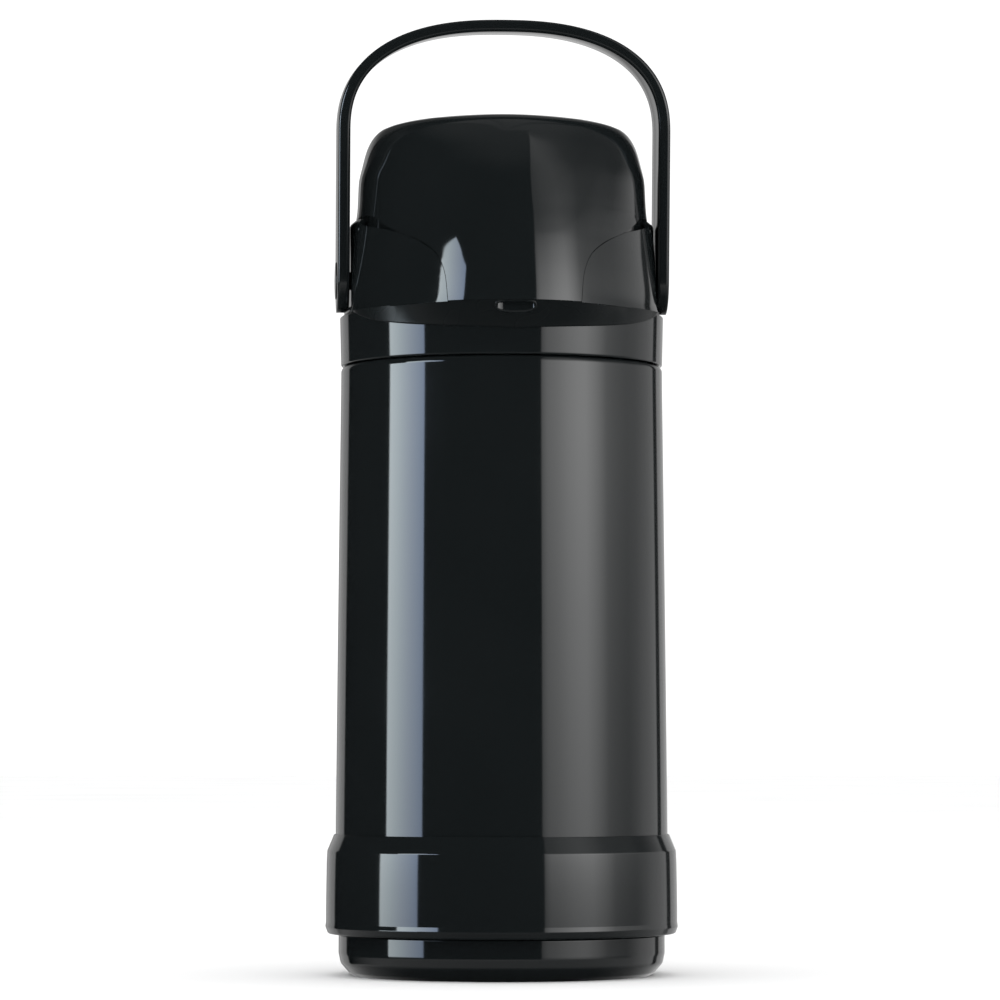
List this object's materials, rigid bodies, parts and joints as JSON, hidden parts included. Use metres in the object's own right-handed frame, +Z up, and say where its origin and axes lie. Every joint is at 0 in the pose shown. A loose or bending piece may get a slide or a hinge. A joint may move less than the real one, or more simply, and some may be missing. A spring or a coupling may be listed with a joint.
{
  "type": "thermal coffee airpot",
  "caption": "Glass-lined press airpot in black gloss plastic: tapered body on a wider base band, beaked pump head with press lever, and a folding carrying bail.",
  "frame": {"origin": "centre of the foot, on the plane that the airpot stands on, on the body's axis", "axes": "+Z up along the body's axis, the spout and beak point to -Y, +X is the user's right when the spout faces them"},
  "size_m": [0.1316, 0.1353, 0.3587],
  "materials": {
    "gloss_black": "high gloss moulded black, faint orange peel",
    "inner_black": "satin moulded black",
    "white_plastic": "natural white food-grade plastic",
    "silvered_glass": "silvered vacuum glass",
    "grey_rubber": "matt grey rubber",
    "clear_silicone": "milky silicone rubber",
    "spring_steel": "drawn stainless steel"
  },
  "bodies": {
    "vessel": {"outer_body": "gloss_black", "base_ring": "gloss_black", "foot_cup": "gloss_black", "foot_screw_plug": "inner_black", "glass_refill": "silvered_glass", "glass_spacer_1": "white_plastic", "glass_spacer_2": "white_plastic", "glass_spacer_3": "white_plastic", "glass_cushion": "grey_rubber", "neck_gasket": "clear_silicone", "collar": "gloss_black"},
    "head": {"head_base": "gloss_black", "head_cover": "gloss_black", "spout_nozzle": "inner_black", "outlet_tube": "white_plastic", "inner_plug": "white_plastic", "plug_gasket": "clear_silicone", "dip_tube": "white_plastic", "valve_cage": "white_plastic", "bellows_seat": "white_plastic", "air_valve_flap": "grey_rubber", "seat_screw_1": "spring_steel", "seat_screw_2": "spring_steel", "seat_screw_3": "spring_steel", "seat_screw_4": "spring_steel", "lever_pin": "spring_steel", "pivot_pin_left": "gloss_black", "pivot_pin_right": "gloss_black", "bellows": "clear_silicone", "return_spring": "spring_steel"},
    "lever": {"press_lever": "gloss_black"},
    "piston": {"push_piston": "white_plastic"},
    "ball": {"check_ball": "spring_steel"},
    "bail": {"carry_bail": "gloss_black"}
  },
  "joints": [
    {"name": "head_lift", "type": "slide", "parent": "vessel", "child": "head", "axis": [0, 0, 1], "range_m": [0, 0.24]},
    {"name": "lever_press", "type": "hinge", "parent": "head", "child": "lever", "pos_m": [0, 0.031, 0.3095], "axis": [1, 0, 0], "range_deg": [0, 13], "stiffness_Nm_per_rad": 1.2, "springref_deg": -8.59},
    {"name": "piston_stroke", "type": "slide", "parent": "head", "child": "piston", "axis": [0, 0, -1], "range_m": [0, 0.0075], "deforming": ["bellows", "return_spring"]},
    {"name": "ball_lift", "type": "slide", "parent": "head", "child": "ball", "axis": [0, 0, 1], "range_m": [0, 0.003]},
    {"name": "bail_fold", "type": "hinge", "parent": "head", "child": "bail", "pos_m": [0, 0, 0.26], "axis": [1, 0, 0], "range_deg": [-95.5, 0]}
  ],
  "couplings": [
    {"joint": "piston_stroke", "follows": "lever_press", "m_per_rad": 0.0326}
  ]
}
